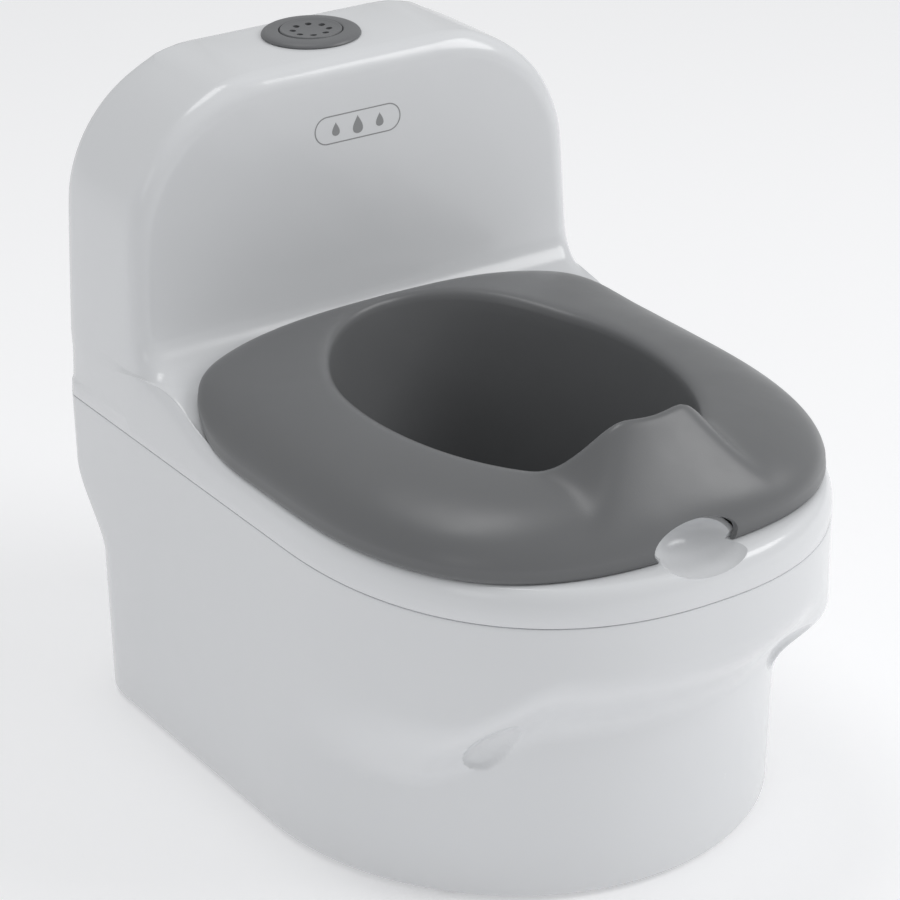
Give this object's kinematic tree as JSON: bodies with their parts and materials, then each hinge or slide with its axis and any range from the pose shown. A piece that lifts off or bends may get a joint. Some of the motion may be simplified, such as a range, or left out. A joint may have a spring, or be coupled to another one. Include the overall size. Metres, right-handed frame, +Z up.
{
  "type": "potty training chair",
  "caption": "Toddler potty chair shaped like a small toilet, with a lift-out seat and bowl insert and a press-button sound module in the tank.",
  "frame": {"origin": "on the floor under the middle of the bounding box", "axes": "+Z up, -Y towards the front of the seat, +X to the right seen from behind the chair's front"},
  "size_m": [0.26, 0.369, 0.3329],
  "materials": {
    "white_shell": "glossy moulded polypropylene",
    "grey_seat": "satin moulded polypropylene",
    "grey_module": "satin ABS",
    "dark_plastic": "matte ABS",
    "rubber": "matte",
    "steel": "zinc plated",
    "brass": "stamped spring brass",
    "board_green": "solder mask",
    "paper_cone": "polyester film",
    "red_wire": "wire insulation",
    "black_wire": "wire insulation"
  },
  "bodies": {
    "chair": {"base_shell": "white_shell", "upper_shell": "white_shell", "rubber_foot_1": "rubber", "rubber_foot_2": "rubber", "rubber_foot_3": "rubber", "rubber_foot_4": "rubber", "shell_screw_1": "steel", "shell_screw_2": "steel", "shell_screw_3": "steel", "shell_screw_4": "steel"},
    "insert": {"potty_insert": "grey_seat"},
    "module": {"module_bezel": "grey_module", "module_cup": "dark_plastic", "sound_board": "board_green", "sound_chip": "dark_plastic", "speaker_frame": "steel", "speaker_magnet": "dark_plastic", "speaker_cone": "paper_cone", "switch_body": "dark_plastic", "button_spring": "steel", "button_cell_1": "steel", "button_cell_2": "steel", "button_cell_3": "steel", "contact_plate_upper": "brass", "cell_spacer": "dark_plastic", "battery_lead_red": "red_wire", "battery_lead_black": "black_wire"},
    "button": {"flush_button": "grey_module"},
    "plunger": {"switch_plunger": "rubber"},
    "door": {"battery_door": "dark_plastic", "contact_plate_lower": "brass", "door_screw": "steel"}
  },
  "joints": [
    {"name": "insert_lift", "type": "slide", "parent": "chair", "child": "insert", "axis": [0, 0, 1], "range_m": [0, 0.16]},
    {"name": "module_lift", "type": "slide", "parent": "chair", "child": "module", "axis": [0, 0, 1], "range_m": [0, 0.06]},
    {"name": "flush_press", "type": "slide", "parent": "module", "child": "button", "axis": [0, 0, -1], "range_m": [0, 0.0025], "stiffness_N_per_m": 300, "deforming": ["button_spring"]},
    {"name": "switch_press", "type": "slide", "parent": "module", "child": "plunger", "axis": [0, 0, -1], "range_m": [0, 0.0025]},
    {"name": "battery_door_drop", "type": "slide", "parent": "module", "child": "door", "axis": [0, 0, -1], "range_m": [0, 0.02]}
  ],
  "couplings": [
    {"joint": "switch_press", "follows": "flush_press", "ratio": 1}
  ]
}
